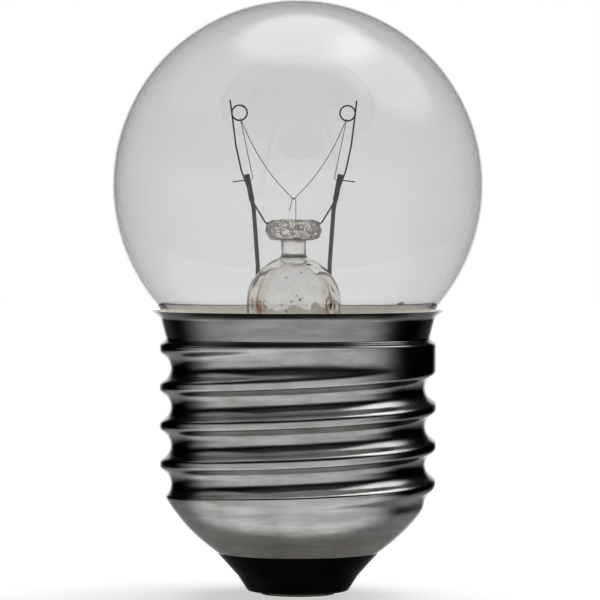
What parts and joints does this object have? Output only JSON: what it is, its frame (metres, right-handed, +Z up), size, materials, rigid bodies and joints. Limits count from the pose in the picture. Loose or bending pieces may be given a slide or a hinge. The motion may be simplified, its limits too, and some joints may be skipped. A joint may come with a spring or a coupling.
{
  "type": "globe bulb",
  "caption": "Small clear globe bulb with a wire-held filament on a glass stem, in a rolled metal screw cap with a black insulator.",
  "frame": {"origin": "on the bulb's axis, on the lowest face of the centre contact", "axes": "+Z up along the axis from cap to globe, -Y towards the viewer of the picture, +X to their right"},
  "size_m": [0.035, 0.035, 0.0563],
  "materials": {
    "globe_glass": "clear, thin blown glass, polished",
    "stem_glass": "clear fused glass with a few bubbles",
    "lead_nickel": "drawn nickel-plated wire, dulled by heat",
    "seal_copper": "reddish copper-clad wire",
    "lead_copper": "bare copper wire",
    "support_wire": "dark drawn wire",
    "filament_wire": "fine grey coiled wire",
    "cap_nickel": "rolled sheet, bright nickel plate",
    "black_glass": "black moulded glass, glossy",
    "contact_brass": "pressed sheet",
    "solder": "dull solder",
    "cement": "beige cured cement"
  },
  "bodies": {
    "root": {"glass_bulb": "globe_glass", "stem_flare": "stem_glass", "arbor_button": "stem_glass", "exhaust_tube": "stem_glass", "inner_lead_left": "lead_nickel", "inner_lead_right": "lead_nickel", "seal_wire_left": "seal_copper", "seal_wire_right": "seal_copper", "support_wire_left": "support_wire", "support_wire_right": "support_wire", "centre_hook": "support_wire", "outer_lead_left": "lead_copper", "outer_lead_right": "lead_copper", "filament": "filament_wire", "screw_shell": "cap_nickel", "insulator": "black_glass", "contact_eyelet": "contact_brass", "contact_solder": "solder", "side_solder": "solder", "basing_cement": "cement"}
  },
  "joints": []
}
